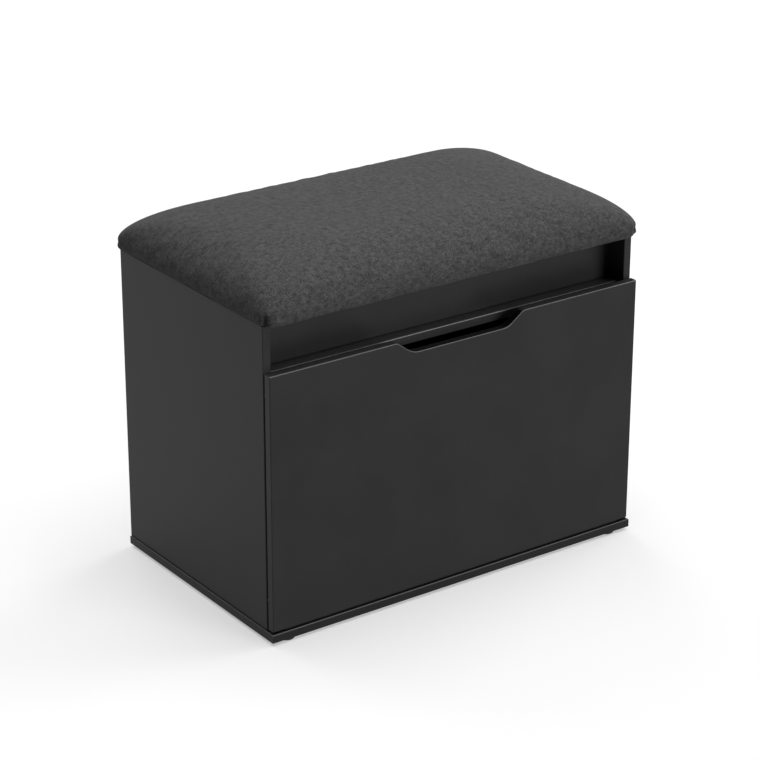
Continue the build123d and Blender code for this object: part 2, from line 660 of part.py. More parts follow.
def staple(grow=0.0):
    """A wire staple whose crown lies in the fabric; its legs point up."""
    half = STAPLE_W / 2
    wire = STAPLE_WIRE / 2 + grow
    crown = block(-half - grow, half + grow, -wire, wire, STAPLE_PROUD - grow, STAPLE_PROUD + STAPLE_WIRE)
    legs = [block(x - wire, x + wire, -wire, wire, STAPLE_PROUD, STAPLE_PROUD + STAPLE_LEG + grow)
            for x in (-half + STAPLE_WIRE / 2, half - STAPLE_WIRE / 2)]
    return crown + legs[0] + legs[1]


def staples(grow=0.0):
    """A row of staples along each side of the turned-in fabric."""
    shape = staple(grow)
    half_w = SEAT_W / 2 - STAPLE_INSET
    half_d = SEAT_D / 2 - STAPLE_INSET
    across = int(half_w / STAPLE_STEP)
    along = int(half_d / STAPLE_STEP)
    spots = []
    for index in range(-across, across + 1):
        for side in SIDES:
            spots.append(Pos(index * STAPLE_STEP, SEAT_MID + side * half_d, CABINET_TOP) * shape)
    for index in range(-along + 1, along):
        for side in SIDES:
            spot = Pos(side * half_w, SEAT_MID + index * STAPLE_STEP, CABINET_TOP)
            spots.append(spot * Rot(0, 0, 90) * shape)
    return spots


# ---- everything, piece by piece

def build_cabinet():
    save("base_board", base_board())
    save("left_side_panel", side_panel(-1))
    save("right_side_panel", side_panel(1))
    save("storage_floor", storage_floor())
    save("storage_front_board", storage_front_board())
    save("rear_rail", rear_rail())
    save("back_panel", back_panel())
    save("foot_glides", foot_glides())
    save("foot_screws", repeat(screw(FOOT_SCREW), FOOT_SCREW_PLACES))
    save("base_screws", repeat(screw(BOARD_SCREW), BASE_SCREW_PLACES))
    dowels = SIDE_DOWELS + FLOOR_DOWELS + UPRIGHT_DOWELS
    save("cabinet_dowels", [dowel(point, along) for point, along in dowels])
    save("cabinet_cams", [cam(point, out) for point, out, side in FLOOR_CAMS + NICHE_CAMS + RAIL_CAMS])
    save("cabinet_cam_bolts", cabinet_cam_bolts())
    save("back_panel_nails", repeat(nail(), NAIL_PLACES))
    save("left_stop_block", stop_block(-1))
    save("right_stop_block", stop_block(1))
    save("stop_block_screws", repeat(screw(BLOCK_SCREW), STOP_SCREW_PLACES))
    save("flap_bumpers", flap_bumpers())


def build_flap():
    save("flap_front", flap_front())
    save("bin_left_side", bin_side(-1))
    save("bin_right_side", bin_side(1))
    save("bin_floor", bin_board(FLAP_BACK, BIN_BACK_FACE, BIN_Z, BIN_FLOOR_TOP))
    save("bin_shelf", bin_board(FLAP_BACK, BIN_BACK_FACE, BIN_SHELF_Z, BIN_SHELF_Z + BOARD))
    save("bin_back", bin_board(BIN_BACK_FACE, BIN_BACK_Y, BIN_Z, PIVOT_Z + BIN_BACK_RISE))
    save("bin_cams", bin_cams())
    save("bin_cam_bolts", bin_cam_bolts())
    save("bin_dowels", bin_dowels())
    save("bin_screws", repeat(screw(BIN_SCREW), BIN_SCREW_PLACES))


def build_rod_hinge():
    base_frame = on_axis(0, PIVOT_Y, PIVOT_Z, "base")
    flap_frame = on_axis(0, PIVOT_Y, PIVOT_Z, "flap")
    base_leaf = drill(base_frame * rod_leaf(0), repeat(screw(SMALL_SCREW, PLAY), ROD_BASE_SCREWS))
    flap_leaf = drill(flap_frame * rod_leaf(1), repeat(screw(SMALL_SCREW, PLAY), ROD_FLAP_SCREWS))
    save("flap_hinge_base_leaf", base_leaf)
    save("flap_hinge_flap_leaf", flap_leaf)
    save("flap_hinge_rod", rod((-ROD_HINGE_L / 2, PIVOT_Y, PIVOT_Z), RIGHT, ROD_R, ROD_HINGE_L))
    save("flap_hinge_base_screws", repeat(screw(SMALL_SCREW), ROD_BASE_SCREWS))
    save("flap_hinge_flap_screws", repeat(screw(SMALL_SCREW), ROD_FLAP_SCREWS))


def build_seat():
    save("lid_board", lid_board())
    save("seat_foam", seat_foam())
    save("seat_cover", seat_cover())
    save("dust_cover", dust_cover())
    save("cover_staples", staples())


def build_seat_hinges():
    for side, name in zip(SIDES, ("left", "right")):
        x = side * LID_HINGE_X
        lid_frame = on_axis(x, LID_AXIS_Y, LID_AXIS_Z, "lid")
        back_frame = on_axis(x, LID_AXIS_Y, LID_AXIS_Z, "back")
        upper = drill(lid_frame * lid_leaf(), repeat(screw(HINGE_SCREW, PLAY), LID_LEAF_SCREWS))
        lower = drill(back_frame * fixed_leaf(), repeat(screw(LONG_HINGE_SCREW, PLAY), FIXED_LEAF_SCREWS))
        save(name + "_hinge_seat_leaf", upper)
        save(name + "_hinge_back_leaf", lower)
        start = (x - LID_HINGE_L / 2, LID_AXIS_Y, LID_AXIS_Z)
        save(name + "_hinge_pin", rod(start, RIGHT, LID_PIN_R, LID_HINGE_L))
    save("seat_leaf_screws", repeat(screw(HINGE_SCREW), LID_LEAF_SCREWS))
    save("back_leaf_screws", repeat(screw(LONG_HINGE_SCREW), FIXED_LEAF_SCREWS))


def main():
    os.makedirs("parts", exist_ok=True)
    build_cabinet()
    build_flap()
    build_rod_hinge()
    build_seat()
    build_seat_hinges()


main()
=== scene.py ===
"""Looks of the storage bench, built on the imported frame. Metres; X to the right, Y to the back, Z up."""

import math

import bpy
import numpy as np
from mathutils import Matrix, Vector


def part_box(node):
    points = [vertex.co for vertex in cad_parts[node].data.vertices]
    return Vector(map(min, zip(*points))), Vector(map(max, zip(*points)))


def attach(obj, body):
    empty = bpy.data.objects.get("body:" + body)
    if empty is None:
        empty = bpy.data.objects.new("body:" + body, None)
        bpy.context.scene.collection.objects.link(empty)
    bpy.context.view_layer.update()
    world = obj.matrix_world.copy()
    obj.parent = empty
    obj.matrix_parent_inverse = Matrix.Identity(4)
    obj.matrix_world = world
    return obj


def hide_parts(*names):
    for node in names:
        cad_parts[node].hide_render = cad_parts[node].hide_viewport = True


MM = 0.001
MM_PER_M = 1000.0

# Camera: where it stands, its yaw, pitch and roll in degrees, its lens and sensor in mm, and how far it sees
EYE = (-1.90555, -2.66647, 1.60327)
YAW, PITCH, ROLL = -35.576, 22.629, 0.10
LENS, SENSOR, CLIP_END = 122.92, 36.0, 100.0

# Stage: a wide pale floor with a glow of its own, a faint white world, and four soft suns, each given by its
# strength, where it stands from the middle of the floor, and the width of its disc in degrees
FLOOR_HALF, FLOOR_GREY, FLOOR_GLOW = 14.0, 0.235, 0.41
WORLD_STRENGTH = 0.01
SUNS = {
    "top": (4.5, (0.0, 0.0, 3.0), 60),
    "right": (3.25, (2.4, 0.0, 1.8), 50),
    "back": (2.3, (0.0, 2.4, 1.8), 50),
    "low_front": (3.7, (1.1, -2.7, 0.66), 30),
}

# Laminated boards: gloss, and the seam of the edge band, in mm from the edge
BOARD_ROUGH, BOARD_SHINE = 0.30, 0.10
SEAM_IN, SEAM_HALF = 1.6, 0.22
DARKEST = 0.05

# The grip cut into the front: how far to either side its cut edge goes, in metres, and the tone of the
# painted shade on it
GRIP_END, GRIP_FADE = 0.104, 0.101
GRIP_SHADE_TONE = 0.15

# Weave: the yarn's mean grey, the threads' pitch in mm, how far they sway in mm, and how fine that sway is
YARN_GREY = 0.0270
THREAD_PITCH, SWAY, SWAY_SCALE = 1.45, 0.8, 0.11

# Padded seat, in mm: its side wall, the dome over it, and the corners of its outlines
WALL_TOP = 17.0
DOME, DOME_REACH, DOME_FALL, DOME_POWER = 48.8, 205.0, 5.0, 0.65
CORNER_R, CORNER_GROWTH, CORNER_LIMIT = 17.0, 1.45, 0.88

# Its rings of points, in mm: insets under the board, insets and heights round the lower edge, and insets on
# the dome, where the points of a ring are evenly spaced from EVEN_INSET on
RETURN_IN = 33.0
UNDER_RINGS = (RETURN_IN, 31.5, 29.0, 26.5, 24.8, 23.0, 21.2, 19.0, 16.0)
EDGE_RINGS = ((13.0, 0.0), (9.0, 0.0), (6.2, 0.0), (4.2, 0.05), (2.9, 0.4), (1.9, 1.1), (1.1, 2.1),
              (0.5, 3.5), (0.15, 5.3), (0.0, 7.6), (0.0, 10.6), (0.0, 13.8))
DOME_RINGS = (0.0, 0.3, 0.9, 2.0, 3.8, 6.2, 9.5, 13.5, 18.0, 23.0, 28.5, 34.5, 41.0, 48.0, 55.5, 63.0)
EVEN_INSET = 45.0
SEGMENTS_X, SEGMENTS_Y = 50, 32
CORNER_SHARE = 0.22
HALVINGS, SMOOTHINGS = 40, 60

# Simulated cover, in mm: how much too small it starts, up to where it is tacked, how firmly the foam holds
# it, the pressure in it, and how far from its form a point may end
SHRINK, SHRINK_FROM, SHRINK_FADE, SHRINK_POWER = 1.6, 3.0, 12.0, 6
TACKED_BELOW, TACKED_FADE = 2.0, 8.0
FOAM_HOLD, FOAM_HOLD_LEAST = 0.3, 0.1
PRESSURE, SWELL_CAP, FRAMES = 4.0, 1.5, 20

# Upholstery, in mm: the corner pleats, the lip beside each with its place and width in pleat widths, the
# staples, the band they pull on and how hard, and the furrow and the fan of folds in the turned-in fabric
PLEAT_H, PLEAT_W, PLEAT_DEPTH, PLEAT_SHIFT = 19.0, 4.6, 3.4, 3.0
LIP, LIP_AWAY, LIP_W = 1.1, 1.9, 1.3
STAPLE_IN, STAPLE_STEP = 23.0, 45.0
PULL_Z, PULL_REACH, PULL_POWER = 2.0, 13.0, 1.5
PULL_IN, PULL_IN_FADE = 12.0, 8.0
PULL_FROM_CORNER, PULL_CORNER_FADE = 26.0, 30.0
PULL, PULL_AT_STAPLE, PULL_UNEVEN = 0.7, 0.55, 0.35
FURROW_HALF, FURROW, FURROW_AT_STAPLE = 3.2, 0.35, 0.3
FAN_IN, FAN_REACH, FAN_FOLDS, FAN_HEIGHT = 24.0, 30.0, 17.0, 0.4

# Hollow for the board, in mm: its play round the board, and the turned-in fabric's thickness at its end
PLAY, RETURN_END = 0.05, 0.3

# How much of the dome's reach the cloth's flat coordinates are measured over
LAID_REACH, LAID_STEPS = 0.68, 240

# Dust sheet, in mm: how far it reaches under the turned-in fabric, its sag, the puckers along its edges, a
# slow wave over it, and how far to either side of the niche's board it stays clear of that board
SHEET_COLUMNS, SHEET_ROWS = 108, 62
SHEET_REACH, SHEET_DROP = 1.6, 0.35
SAG, SAG_REACH = 2.6, 45.0
PUCKER, PUCKER_REACH, PUCKER_START = 0.55, 22.0, 3.0
WAVE, WAVE_REACH = 0.5, 60.0
CLEAR_OF_BOARD = 12.0

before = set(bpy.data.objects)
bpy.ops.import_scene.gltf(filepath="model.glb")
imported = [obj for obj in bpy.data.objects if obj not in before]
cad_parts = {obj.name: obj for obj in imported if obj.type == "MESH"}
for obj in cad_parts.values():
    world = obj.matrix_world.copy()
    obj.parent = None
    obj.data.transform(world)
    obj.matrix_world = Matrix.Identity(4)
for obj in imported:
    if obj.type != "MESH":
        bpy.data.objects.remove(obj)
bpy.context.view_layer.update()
scene = bpy.context.scene


# ---- nodes

class Graph:
    """A material's node tree, built by short calls. A socket takes a number, a tuple or another socket."""

    def __init__(self, material):
        self.tree = material.node_tree
        self.tree.nodes.clear()
        coords = self.node("ShaderNodeTexCoord")
        self.place = coords.outputs["Object"]
        self.normal = coords.outputs["Normal"]

    def node(self, kind, inputs=None, **settings):
        made = self.tree.nodes.new(kind)
        for key, value in settings.items():
            setattr(made, key, value)
        for key, value in (inputs or {}).items():
            self.feed(made.inputs[key], value)
        return made

    def feed(self, socket, value):
        if isinstance(value, bpy.types.NodeSocket):
            self.tree.links.new(value, socket)
        else:
            socket.default_value = value

    def math(self, operation, *values):
        made = self.node("ShaderNodeMath", operation=operation)
        for index, value in enumerate(values):
            self.feed(made.inputs[index], value)
        return made.outputs[0]

    def chain(self, operation, *values):
        """Two or more values taken together one after the other, from the left."""
        made = values[0]
        for value in values[1:]:
            made = self.math(operation, made, value)
        return made

    def add(self, *values):
        return self.chain("ADD", *values)

    def less(self, *values):
        return self.chain("SUBTRACT", *values)

    def times(self, *values):
        return self.chain("MULTIPLY", *values)

    def vector(self, operation, *values):
        made = self.node("ShaderNodeVectorMath", operation=operation)
        for index, value in enumerate(values):
            self.feed(made.inputs[index], value)
        return made.outputs["Value" if operation == "LENGTH" else "Vector"]

    def stretch(self, scales):
        """The place on the object, scaled along each axis."""
        return self.vector("MULTIPLY", self.place, scales)

    def split(self, vector):
        return self.node("ShaderNodeSeparateXYZ", {"Vector": vector}).outputs

    def join(self, x, y, z=0.0):
        return self.node("ShaderNodeCombineXYZ", {"X": x, "Y": y, "Z": z}).outputs[0]

    def noise(self, vector, scale=1.0, detail=2.0, rough=0.5):
        """Noise between 0 and 1. A larger scale makes it finer."""
        inputs = {"Vector": vector, "Scale": scale, "Detail": detail, "Roughness": rough}
        return self.node("ShaderNodeTexNoise", inputs).outputs["Fac"]

    def range(self, value, low, high, to_low=0.0, to_high=1.0, smooth=True):
        inputs = {"Value": value, "From Min": low, "From Max": high, "To Min": to_low, "To Max": to_high}
        made = self.node("ShaderNodeMapRange", inputs)
        made.interpolation_type = "SMOOTHSTEP" if smooth else "LINEAR"
        return made.outputs["Result"]

    def vary(self, noise, low, high):
        """Noise spread from low to high: most of it lies between 0.3 and 0.7."""
        return self.range(noise, 0.3, 0.7, low, high)

    def stray(self, noise, most):
        """Noise as a small change to either side."""
        return self.vary(noise, -most, most)

    def mix(self, share, a, b):
        """Two colours mixed by a share. The node's colour sockets are its inputs 6 and 7 and its output 2."""
        made = self.node("ShaderNodeMix", data_type="RGBA")
        for socket, value in ((made.inputs[0], share), (made.inputs[6], a), (made.inputs[7], b)):
            self.feed(socket, value)
        return made.outputs[2]

    def tone(self, colour, factor):
        """A colour made lighter or darker by a factor."""
        made = self.node("ShaderNodeVectorMath", operation="SCALE")
        self.feed(made.inputs[0], colour[:3] if isinstance(colour, tuple) else colour)
        self.feed(made.inputs["Scale"], factor)
        return made.outputs["Vector"]

    def bump(self, height):
        """The surface normal over a relief whose height is in metres."""
        inputs = {"Height": height, "Distance": 1.0, "Strength": 1.0}
        return self.node("ShaderNodeBump", inputs).outputs["Normal"]

    def finish(self, **sockets):
        shader = self.node("ShaderNodeBsdfPrincipled")
        for key, value in sockets.items():
            self.feed(shader.inputs[key.replace("_", " ")], value)
        out = self.node("ShaderNodeOutputMaterial")
        self.tree.links.new(shader.outputs[0], out.inputs["Surface"])


def material(name):
    made = bpy.data.materials.new(name)
    made.use_nodes = True
    return made, Graph(made)


def grey(value):
    return (value, value, value, 1.0)


# ---- materials of the hard parts

def board(node, base=0.0113, painted_glint=3.0, gap_shade=0.0, dust_and_painted_light=0.0):
    """Satin dark melamine on one board: a fine pearl, faint handling marks, banded edges and eased corners.

    A painted highlight lightens eased edges that face up, painted shade darkens all eased edges, and
    painted light lightens the open ledge.
    """
    made, g = material("laminate_" + node)
    low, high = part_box(node)
    half = (high - low) / 2
    from_middle = g.vector("ABSOLUTE", g.vector("SUBTRACT", g.place, tuple((high + low) / 2)))
    to_sides = g.split(g.vector("SUBTRACT", tuple(half), from_middle))
    # Of the three distances to the sides of the board's box, the middle one is that to its nearest edge
    most = g.chain("MAXIMUM", *to_sides)
    least = g.chain("MINIMUM", *to_sides)
    edge = g.less(g.add(*to_sides), most, least)
    thin = min(range(3), key=lambda axis: half[axis])
    # 1 on the board's two large faces, 0 on its edges
    on_face = g.math("ABSOLUTE", g.split(g.normal)[thin])
    band = g.range(on_face, 0.72, 0.6)
    soft = g.noise(g.place, 14.0, detail=3.0)
    cloud = g.noise(g.place, 55.0, detail=4.0, rough=0.6)
    pearl = g.noise(g.place, 1500.0, rough=0.55)
    speck = g.noise(g.place, 700.0, detail=1.0)
    scuffs = g.range(g.noise(g.place, 26.0, detail=3.0, rough=0.6), 0.45, 0.8)
    eased = g.times(g.range(on_face, 0.985, 0.93), g.range(on_face, 0.1, 0.25))
    facing_up = g.range(g.split(g.normal)[2], 0.2, 0.5)
    # Painted highlight: eased edges that face up are lightened in colour
    painted_highlight = g.times(eased, g.times(facing_up, painted_glint))
    # Painted shade: eased edges are darkened in colour, for the shadow in the gaps beside them
    painted_gap_shade = g.times(eased, gap_shade)
    wear = g.times(g.range(edge, 1.1 * MM, 0.2 * MM), g.range(cloud, 0.38, 0.66, 0.1, 0.6))
    off_seam = g.math("ABSOLUTE", g.less(edge, SEAM_IN * MM))
    seam = g.times(g.range(off_seam, SEAM_HALF * MM, 0.05 * MM), g.less(1.0, band))
    factor = g.add(g.vary(soft, 0.94, 1.05), g.stray(speck, 0.05))
    factor = g.add(factor, g.add(g.times(wear, 0.35), g.less(painted_highlight, painted_gap_shade)), g.times(band, 0.06))
    factor = g.less(factor, g.times(seam, 0.25))
    # Painted shade on the faces of the grip's cut edge
    if node == "flap_front":
        factor = g.times(factor, grip_shade(g, high.z, on_face))
    # Painted light: the open ledge's upper face is lightened in colour
    factor = g.times(g.math("MAXIMUM", factor, DARKEST), g.add(1.0, g.times(dust_and_painted_light, ledge_painted_light(g))))
    roughness = g.add(g.vary(soft, BOARD_ROUGH - 0.02, BOARD_ROUGH + 0.02), g.times(scuffs, 0.012),
                      g.times(wear, 0.08))
    height = g.add(g.times(pearl, 0.012 * MM), g.times(seam, -0.03 * MM), g.times(soft, 0.09 * MM))
    g.finish(Base_Color=g.tone(grey(base), factor), Roughness=roughness, Specular_IOR_Level=BOARD_SHINE,
             Normal=g.bump(height))
    return made


def ledge_painted_light(g):
    """Where a board's upper face lies open in front of the niche's board, and is lightened by painted light.
    """
    niche_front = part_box("storage_front_board")[0].y
    in_front = g.range(g.split(g.place)[1], niche_front + 0.5 * MM, niche_front - 0.5 * MM)
    return g.times(in_front, g.range(g.split(g.normal)[2], 0.93, 0.99))


def grip_shade(g, top, on_face):
    """Painted shade on the grip's cut edge: its faces are darkened in colour."""
    x, _, z = g.split(g.place)
    in_grip = g.times(g.range(g.math("ABSOLUTE", x), GRIP_END, GRIP_FADE),
                      g.range(z, top - 0.5 * MM, top - 2.5 * MM))
    return g.range(g.times(in_grip, g.range(on_face, 0.5, 0.2)), 0.0, 1.0, 1.0, GRIP_SHADE_TONE)


def hardboard():
    """Painted hardboard: fibres mottle the paint, and its outer face keeps the screen's fine grid."""
    made, g = material("hardboard")
    x, _, z = g.split(g.place)
    waves = math.tau / (1.6 * MM)
    screen = g.times(g.math("SINE", g.times(x, waves)), g.math("SINE", g.times(z, waves)))
    outer_screen = g.times(screen, g.range(g.split(g.normal)[1], 0.3, 0.6))
    fibres = g.noise(g.stretch((420.0, 420.0, 900.0)), detail=5.0, rough=0.7)
    mottle = g.noise(g.place, 28.0, detail=4.0, rough=0.6)
    factor = g.add(g.vary(fibres, 0.86, 1.16), g.stray(mottle, 0.08), g.times(outer_screen, 0.07))
    height = g.add(g.times(fibres, 0.05 * MM), g.times(outer_screen, 0.035 * MM))
    g.finish(Base_Color=g.tone((0.026, 0.0245, 0.023, 1.0), factor), Roughness=g.vary(fibres, 0.56, 0.72),
             Specular_IOR_Level=0.4, Normal=g.bump(height))
    return made


def raw_board():
    """Raw particle board: pressed chips of several tones."""
    made, g = material("raw_board")
    pressed = {"Vector": g.stretch((1.0, 1.0, 2.2)), "Scale": 330.0, "Randomness": 1.0}
    chips = g.node("ShaderNodeTexVoronoi", pressed)
    tone = g.split(chips.outputs["Color"])[0]
    fine = g.noise(g.place, 1400.0, detail=3.0, rough=0.7)
    colour = g.mix(tone, (0.42, 0.27, 0.13, 1.0), (0.62, 0.45, 0.26, 1.0))
    height = g.add(g.times(tone, 0.12 * MM), g.times(fine, 0.05 * MM))
    g.finish(Base_Color=g.tone(colour, g.vary(fine, 0.8, 1.1)), Roughness=g.range(tone, 0.0, 1.0, 0.75, 0.9),
             Specular_IOR_Level=0.3, Normal=g.bump(height))
    return made


def beech():
    """Beech dowels: fine grain with short dark flecks."""
    made, g = material("beech")
    grain = g.noise(g.stretch((900.0, 900.0, 160.0)), detail=4.0, rough=0.6)
    fleck = g.range(g.noise(g.stretch((2200.0, 2200.0, 500.0)), detail=1.0), 0.62, 0.72)
    factor = g.less(g.vary(grain, 0.88, 1.1), g.times(fleck, 0.2))
    g.finish(Base_Color=g.tone((0.56, 0.36, 0.2, 1.0), factor), Roughness=g.vary(grain, 0.5, 0.66),
             Normal=g.bump(g.times(grain, 0.04 * MM)))
    return made


def plastic():
    """Moulded black plastic with a fine spark-eroded texture, scuffed where it touches the floor."""
    made, g = material("black_plastic")
    grain = g.noise(g.place, 1700.0, rough=0.6)
    cloud = g.noise(g.place, 160.0, detail=3.0)
    low = g.range(g.split(g.place)[2], 1.2 * MM, 0.0)
    factor = g.add(g.vary(cloud, 0.9, 1.1), g.times(low, 0.3))
    g.finish(Base_Color=g.tone(grey(0.005), factor), Roughness=g.vary(cloud, 0.42, 0.55),
             Specular_IOR_Level=0.15, Normal=g.bump(g.times(grain, 0.03 * MM)))
    return made


def rubber():
    """Soft translucent dots with a slightly dusty skin."""
    made, g = material("clear_rubber")
    dust_and_painted_light = g.noise(g.place, 900.0, detail=4.0, rough=0.7)
    g.finish(Base_Color=g.tone(grey(0.5), g.vary(dust_and_painted_light, 0.85, 1.05)), Roughness=g.vary(dust_and_painted_light, 0.18, 0.34),
             Transmission_Weight=0.55, IOR=1.45, Normal=g.bump(g.times(dust_and_painted_light, 0.02 * MM)))
    return made


def metal(name, colour, rough, brush=(1.0, 1.0, 1.0), spangle=0.06, film=0.0):
    """Plated or blackened steel: brushed or stamped grain, blotches in the plating and worn high spots."""
    made, g = material(name)
    grain = g.noise(g.stretch(brush), 1300.0, detail=3.0, rough=0.65)
    blotch = g.noise(g.place, 210.0, detail=3.0, rough=0.6)
    worn = g.range(g.noise(g.place, 480.0, detail=4.0, rough=0.7), 0.58, 0.72)
    factor = g.add(g.vary(blotch, 1.0 - spangle, 1.0 + spangle), g.times(worn, film))
    roughness = g.add(g.vary(grain, rough - 0.07, rough + 0.09), g.times(worn, -0.06))
    g.finish(Base_Color=g.tone(colour, factor), Metallic=1.0, Roughness=roughness,
             Normal=g.bump(g.times(grain, 0.012 * MM)))
    return made


# ---- cloth

def woven():
    """Charcoal linen weave: threads of uneven tone and thickness, by the cloth's flat coordinates in mm."""
    made, g = material("charcoal_weave")
    flat = g.node("ShaderNodeUVMap", uv_map="cloth").outputs[0]
    u, v, _ = g.split(g.vector("MULTIPLY", flat, (MM_PER_M, MM_PER_M, 0.0)))
    threads, bulges = [], []
    for here, other in ((u, v), (v, u)):
        sway = g.times(g.less(g.noise(g.join(here, other), SWAY_SCALE), 0.5), SWAY)
        count = g.math("DIVIDE", g.add(here, sway), THREAD_PITCH)
        threads.append(g.math("FLOOR", count))
        bulges.append(g.math("COSINE", g.times(g.less(g.math("FRACT", count), 0.5), math.pi)))
    warp, weft = threads
    over = g.math("FLOORED_MODULO", g.add(warp, weft), 2.0)

    def fibres(across, along, depth=0.0, detail=2.0, rough=0.5):
        """Noise with a frequency of its own across and along the seat."""
        return g.noise(g.join(g.times(u, across), g.times(v, along), depth), detail=detail, rough=rough)

    # Each thread has slubs along it, and the thread on top shows
    warp_slub = g.noise(g.join(g.times(warp, 3.17), g.times(v, 0.17)), detail=3.0, rough=0.62)
    weft_slub = g.noise(g.join(g.times(u, 0.15), g.times(weft, 3.71), 5.0), detail=3.0, rough=0.62)
    slubs = {"Factor": over, "A": weft_slub, "B": warp_slub}
    slub = g.node("ShaderNodeMix", slubs, data_type="FLOAT").outputs[0]
    streak = g.times(g.range(slub, 0.36, 0.64, -1.0, 1.0), g.range(over, 0.0, 1.0, 0.265, 0.21))
    # Heathered yarn: light and dark fibres gather in flecks that lie along and across the seat
    fleck = fibres(0.13, 0.2, detail=3.0, rough=0.6)
    cross = fibres(0.2, 0.1, rough=0.6)
    dash = fibres(0.085, 0.13, depth=7.0)
    crossing = g.node("ShaderNodeTexWhiteNoise", {"Vector": g.join(warp, weft)}, noise_dimensions="2D")
    grain = g.range(crossing.outputs["Value"], 0.0, 1.0, -0.29, 0.29, smooth=False)
    cloud = g.noise(g.join(u, v), 0.03, detail=3.0, rough=0.55)
    lint = g.range(g.noise(g.join(u, v), 0.9, rough=0.7), 0.68, 0.78)
    tone = g.add(g.range(fleck, 0.32, 0.68, 0.82, 1.18), streak, g.stray(cross, 0.115),
                 g.range(dash, 0.34, 0.66, -0.105, 0.105), grain, g.range(over, 0.0, 1.0, -0.23, 0.23),
                 g.stray(cloud, 0.05), g.times(lint, 0.4))
    # Painted shade: the gaps between threads and the depth of the pleats are darkened in colour
    height = g.times(g.math("POWER", g.times(*bulges), 0.7), g.range(slub, 0.25, 0.75, 0.65, 1.15))
    pleat_shade = g.node("ShaderNodeAttribute", attribute_name="pleat_shade").outputs["Fac"]
    tone = g.times(tone, g.range(height, 0.0, 0.75, 0.5, 1.1), g.range(pleat_shade, 0.0, 1.0, 1.0, 0.3))
    fuzz = g.noise(g.join(u, v), 5.0, rough=0.7)
    relief = g.add(g.times(height, 0.11 * MM), g.times(fuzz, 0.03 * MM))
    g.finish(Base_Color=g.tone(grey(YARN_GREY), tone), Roughness=g.vary(slub, 0.78, 0.92),
             Specular_IOR_Level=0.08, Sheen_Weight=0.02, Sheen_Roughness=0.45, Normal=g.bump(relief))
    return made


def spunbond():
    """Thin black non-woven cloth: tangled fibres with a grid of tiny heat bonds."""
    made, g = material("dust_cloth")
    x, y, _ = g.split(g.stretch((MM_PER_M, MM_PER_M, MM_PER_M)))
    pitch = 1.9
    row = g.math("DIVIDE", y, pitch)
    shift = g.times(g.math("FLOORED_MODULO", g.math("FLOOR", row), 2.0), 0.5)
    cell_x = g.less(g.math("FRACT", g.add(g.math("DIVIDE", x, pitch), shift)), 0.5)
    cell_y = g.less(g.math("FRACT", row), 0.5)
    bond = g.range(g.vector("LENGTH", g.join(cell_x, cell_y)), 0.3, 0.18)
    fibres = g.noise(g.place, 2600.0, detail=4.0, rough=0.75)
    thin = g.noise(g.place, 240.0, detail=4.0, rough=0.6)
    factor = g.less(g.add(g.vary(fibres, 0.7, 1.3), g.stray(thin, 0.15)), g.times(bond, 0.3))
    height = g.less(g.times(fibres, 0.06 * MM), g.times(bond, 0.08 * MM))
    g.finish(Base_Color=g.tone(grey(0.014), factor), Roughness=g.range(bond, 0.0, 1.0, 0.85, 0.6),
             Sheen_Weight=0.1, Normal=g.bump(height))
    return made


# ---- the padded seat's form, in mm round the middle of its outline

def corner_radius(inset, half_d):
    return np.minimum(CORNER_R + CORNER_GROWTH * inset, CORNER_LIMIT * (half_d - inset))


def dome(inset):
    """Height over the wall at a distance in from the outline."""
    share = np.clip(inset / DOME_REACH, 0, 1)
    return DOME * (1 - (1 - share) ** DOME_FALL) ** DOME_POWER


def octant(half_long, half_short, radius, shares):
    """Points from the middle of a side to the middle of its corner, at shares of that length."""
    straight = half_long - radius
    arc = radius * math.pi / 4
    length = shares * (straight + arc)
    turn = np.clip((length - straight) / radius, 0, None)
    along = np.minimum(length, straight) + radius * np.sin(turn)
    out = half_short - radius * (1 - np.cos(turn))
    return along, out


def spread(count, straight_share, even):
    """Shares of an octant's length: with more points in the corner at the wall, and evenly spaced inside."""
    index = np.arange(count + 1) / count
    knee = 1 - CORNER_SHARE
    crowded = np.interp(index, (0, knee, 1), (0, straight_share, 1))
    return crowded * (1 - even) + index * even


def outline(half_w, half_d, inset, even):
    """One closed ring of points: counter-clockwise, from the middle of the front."""
    w, d = half_w - inset, half_d - inset
    r = float(corner_radius(inset, half_d))
    rings = []
    for long, short, count in ((w, d, SEGMENTS_X), (d, w, SEGMENTS_Y)):
        straight = (long - r) / (long - r + r * math.pi / 4)
        rings.append(octant(long, short, r, spread(count, straight, even)))
    (ax, ay), (by, bx) = rings
    quarter = np.concatenate([np.stack([ax, -ay], 1), np.stack([bx, -by], 1)[-2::-1]])
    right = np.concatenate([quarter, (quarter * (1, -1))[-2::-1]])
    return np.concatenate([right, (right * (-1, 1))[-2:0:-1]])


def depth_inside(points, half_w, half_d):
    """How far in from the seat's outline each point is, along the family of its outlines."""
    low, high = np.zeros(len(points)), np.full(len(points), half_d * 0.999)
    for _ in range(HALVINGS):
        mid = (low + high) / 2
        r = corner_radius(mid, half_d)
        q = np.abs(points) - np.stack([half_w - mid - r, half_d - mid - r], 1)
        gap = np.hypot(*np.maximum(q, 0).T) + np.minimum(q.max(1), 0) - r
        low, high = np.where(gap < 0, mid, low), np.where(gap < 0, high, mid)
    return (low + high) / 2


def lay_border(grid, ring):
    """Puts a ring's entries round a grid's border. The ring starts at the middle of the grid's first row."""
    rows, columns = grid.shape[0] - 1, grid.shape[1] - 1
    walk = np.roll(ring, columns // 2, axis=0)
    grid[0] = walk[:columns + 1]
    grid[:, columns] = walk[columns:columns + rows + 1]
    grid[rows] = walk[columns + rows:2 * columns + rows + 1][::-1]
    grid[1:, 0] = walk[2 * columns + rows:2 * columns + 2 * rows][::-1]


